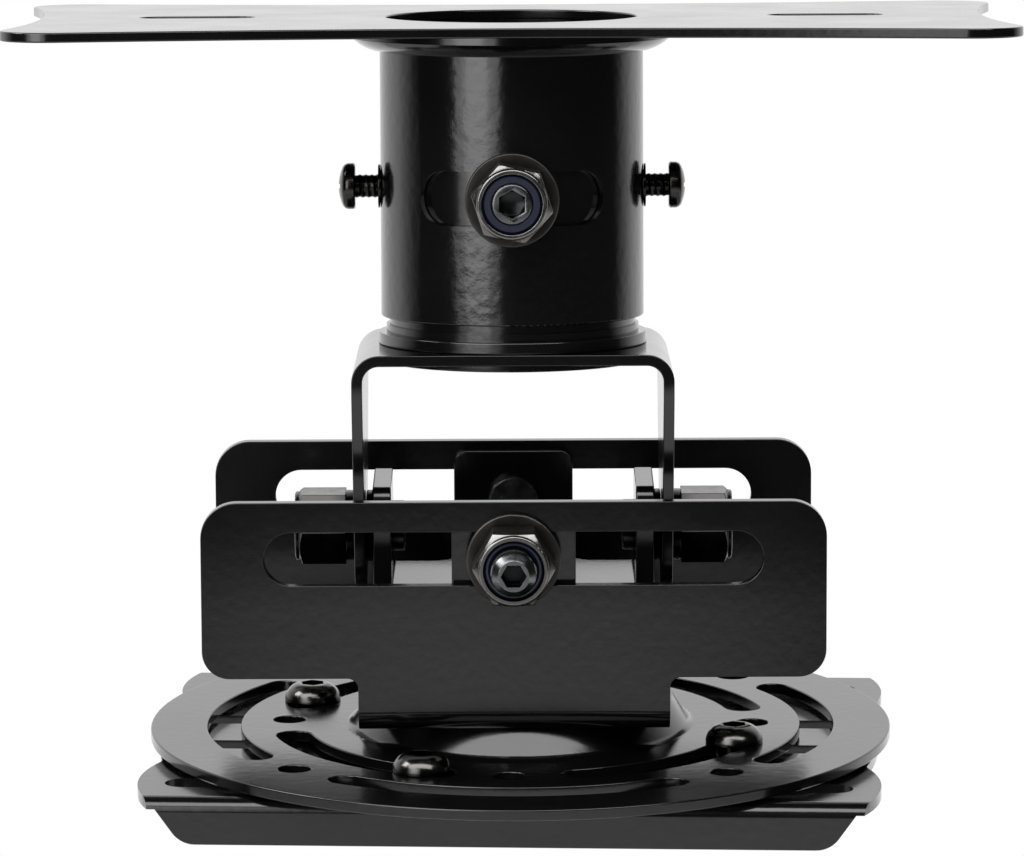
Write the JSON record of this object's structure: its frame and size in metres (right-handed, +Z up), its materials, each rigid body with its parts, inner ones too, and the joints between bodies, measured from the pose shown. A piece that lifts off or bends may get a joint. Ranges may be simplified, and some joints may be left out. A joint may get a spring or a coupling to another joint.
{
  "type": "projector ceiling mount",
  "caption": "Black steel projector ceiling mount: lobed ceiling plate, slotted swivel collar, tilting yoke and gimbal, sliding bracket, slotted disc and turning interface plate.",
  "frame": {"origin": "centre of the ceiling plate's top face, on the axis of the collar", "axes": "+Z up into the ceiling, +X to the right along the two wing slots, -Y towards the viewer in the picture"},
  "size_m": [0.181, 0.137, 0.1457],
  "materials": {
    "powder_coated_steel": "semi-gloss black powder coat with a fine orange peel",
    "black_oxide_steel": "black oxide on turned and rolled steel, edges worn brighter",
    "zinc_plated_steel": "grey zinc plate on the rolled studs",
    "blue_nylon": "dark blue nylon"
  },
  "bodies": {
    "ceiling": {"ceiling_plate": "powder_coated_steel", "collar_tube": "powder_coated_steel", "collar_weld": "powder_coated_steel", "rivet_nuts": "black_oxide_steel", "lock_screws": "black_oxide_steel"},
    "yoke": {"swivel_tube": "powder_coated_steel", "swivel_ring": "powder_coated_steel", "retaining_ring": "powder_coated_steel", "yoke": "powder_coated_steel", "yaw_studs": "zinc_plated_steel", "yaw_washers": "black_oxide_steel", "yaw_nuts": "black_oxide_steel", "yaw_nut_inserts": "blue_nylon"},
    "gimbal": {"gimbal_cross": "powder_coated_steel", "tilt_studs": "zinc_plated_steel", "tilt_spacers": "black_oxide_steel", "tilt_washers": "black_oxide_steel", "tilt_nuts": "black_oxide_steel", "tilt_nut_inserts": "blue_nylon"},
    "roll_pins": {"roll_studs": "zinc_plated_steel", "roll_washers": "black_oxide_steel", "roll_nuts": "black_oxide_steel", "roll_nut_inserts": "blue_nylon"},
    "head": {"slide_bracket": "powder_coated_steel", "hub_disc": "powder_coated_steel"},
    "interface": {"interface_plate": "powder_coated_steel", "interface_screws": "black_oxide_steel", "spacer_washers": "black_oxide_steel", "clinch_nuts": "black_oxide_steel"}
  },
  "joints": [
    {"name": "yaw", "type": "hinge", "parent": "ceiling", "child": "yoke", "pos_m": [0, 0, 0], "axis": [0, 0, 1], "range_deg": [-32, 32]},
    {"name": "tilt", "type": "hinge", "parent": "yoke", "child": "gimbal", "pos_m": [0, 0, -0.094], "axis": [1, 0, 0], "range_deg": [-18.8, 11.2]},
    {"name": "roll", "type": "hinge", "parent": "gimbal", "child": "roll_pins", "pos_m": [0, 0, -0.094], "axis": [0, 0.9978, 0.0663], "range_deg": [-12, 12]},
    {"name": "slide", "type": "slide", "parent": "roll_pins", "child": "head", "axis": [1, 0, 0], "range_m": [-0.04, 0.04]},
    {"name": "plate_swivel", "type": "hinge", "parent": "head", "child": "interface", "pos_m": [0.0011, 0.00247, -0.13112], "axis": [0, -0.0663, 0.9978], "range_deg": [-50, 4]}
  ]
}
